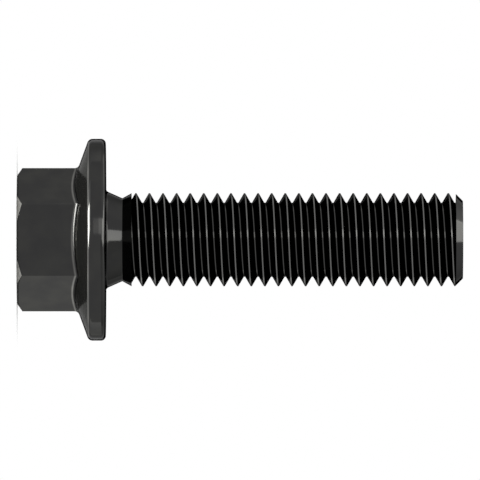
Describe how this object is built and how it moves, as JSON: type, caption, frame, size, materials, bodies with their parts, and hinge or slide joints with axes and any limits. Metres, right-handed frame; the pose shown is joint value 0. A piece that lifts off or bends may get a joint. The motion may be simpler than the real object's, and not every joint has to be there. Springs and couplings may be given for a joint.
{
  "type": "flange bolt",
  "caption": "Black hexagon-head bolt with a wide conical flange under the head, a relieved neck and a fully threaded shank that ends in a chamfer; it clamps parts without a washer.",
  "frame": {"origin": "centre of the bearing face under the flange, on the bolt's axis", "axes": "+Z along the bolt's axis from the head to the threaded tip, so the head is below the origin; +X through a corner of the hexagon, +Y square to one of its flats"},
  "size_m": [0.026, 0.026, 0.0574],
  "materials": {
    "black_steel": "black oxide on steel, lightly oiled"
  },
  "bodies": {
    "root": {"flange_bolt": "black_steel"}
  },
  "joints": []
}
